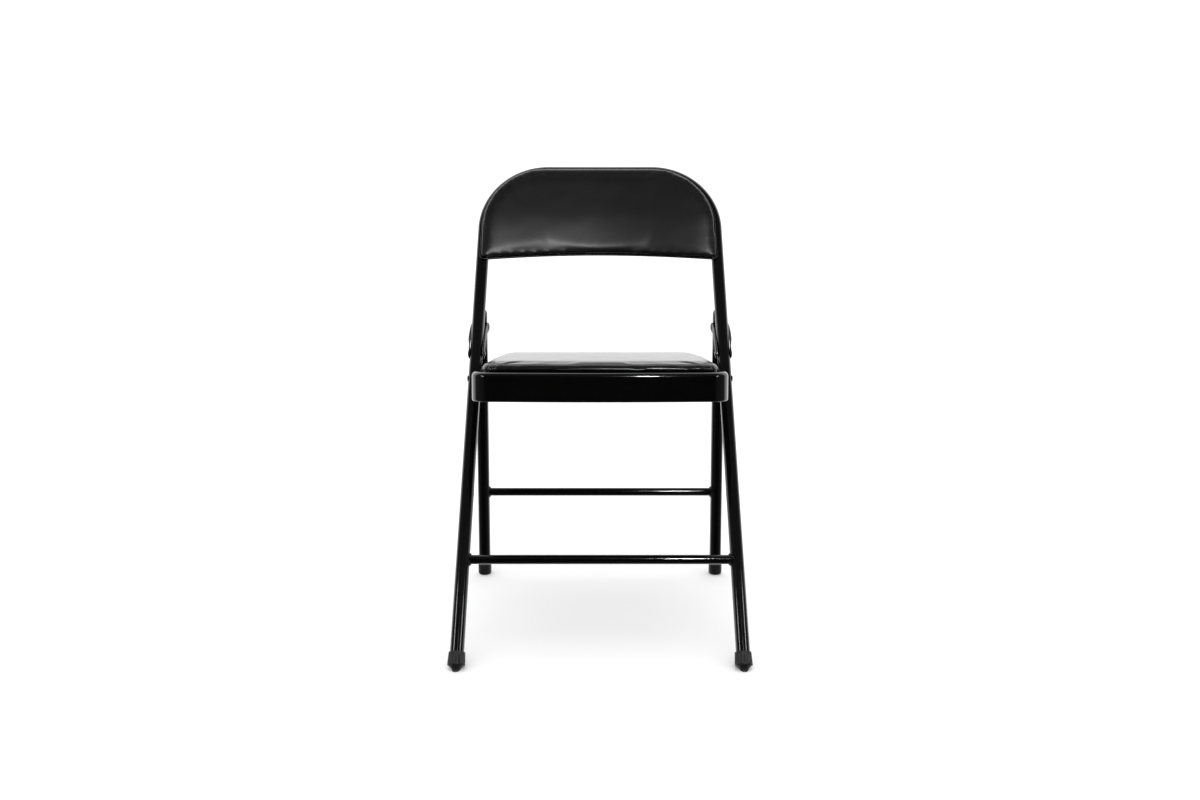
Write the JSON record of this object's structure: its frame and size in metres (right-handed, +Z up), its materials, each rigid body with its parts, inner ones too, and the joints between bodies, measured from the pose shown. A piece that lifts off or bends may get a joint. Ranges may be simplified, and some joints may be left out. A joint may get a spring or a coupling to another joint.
{
  "type": "folding chair",
  "caption": "Steel tube folding chair with a padded vinyl seat and a bowed padded back; rear legs, hinge links and seat fold flat against the front frame.",
  "frame": {"origin": "on the floor, under the middle of the whole chair's box", "axes": "+Z up, -Y towards the chair's front, +X to the right of someone looking at the front"},
  "size_m": [0.4688, 0.5263, 0.7655],
  "materials": {
    "black_enamel": "gloss black stoved enamel on steel",
    "black_vinyl": "satin black vinyl with a fine grain",
    "black_rubber": "moulded matte rubber",
    "grey_foam": "open-cell upholstery foam, hidden inside the covers",
    "plywood": "plain pad board, hidden inside the covers",
    "zinc_steel": "bright zinc plate"
  },
  "bodies": {
    "front_frame": {"front_frame_tube": "black_enamel", "front_crossbar": "black_enamel", "front_foot_left": "black_rubber", "front_foot_right": "black_rubber", "back_panel": "black_enamel", "back_board": "plywood", "back_foam": "grey_foam", "back_cover": "black_vinyl", "back_screw_1": "zinc_steel", "back_screw_2": "zinc_steel", "back_screw_3": "zinc_steel", "back_screw_4": "zinc_steel", "seat_pivot_rivet_left": "black_enamel", "seat_pivot_rivet_right": "black_enamel", "seat_pivot_spacer_left": "zinc_steel", "seat_pivot_spacer_right": "zinc_steel", "link_front_rivet_left": "black_enamel", "link_front_rivet_right": "black_enamel", "link_front_washer_left": "zinc_steel", "link_front_washer_right": "zinc_steel"},
    "seat": {"seat_pan": "black_enamel", "seat_board": "plywood", "seat_foam": "grey_foam", "seat_cover": "black_vinyl", "seat_screw_1": "zinc_steel", "seat_screw_2": "zinc_steel", "seat_screw_3": "zinc_steel", "seat_screw_4": "zinc_steel", "rear_pivot_bush_left": "zinc_steel", "rear_pivot_bush_right": "zinc_steel"},
    "hinge_links": {"link_plate_inner_left": "black_enamel", "link_plate_inner_right": "black_enamel", "link_plate_outer_left": "black_enamel", "link_plate_outer_right": "black_enamel", "link_rear_rivet_left": "black_enamel", "link_rear_rivet_right": "black_enamel", "link_rear_washer_left": "zinc_steel", "link_rear_washer_right": "zinc_steel"},
    "rear_legs": {"rear_leg_left": "black_enamel", "rear_leg_right": "black_enamel", "rear_crossbar": "black_enamel", "rear_foot_left": "black_rubber", "rear_foot_right": "black_rubber", "rear_pivot_rivet_left": "black_enamel", "rear_pivot_rivet_right": "black_enamel"}
  },
  "joints": [
    {"name": "seat_fold", "type": "hinge", "parent": "front_frame", "child": "seat", "pos_m": [0, 0.03021, 0.4025], "axis": [-1, 0, 0], "range_deg": [0, 113.6]},
    {"name": "link_turn", "type": "hinge", "parent": "front_frame", "child": "hinge_links", "pos_m": [0, 0.05758, 0.4411], "axis": [-1, 0, 0], "range_deg": [0, 132.3]},
    {"name": "rear_leg_turn", "type": "hinge", "parent": "hinge_links", "child": "rear_legs", "pos_m": [0, 0.14083, 0.477], "axis": [1, 0, 0], "range_deg": [0, 94.1]}
  ],
  "couplings": [
    {"joint": "link_turn", "follows": "seat_fold", "ratio": 1.1645},
    {"joint": "rear_leg_turn", "follows": "seat_fold", "ratio": 0.82818}
  ]
}
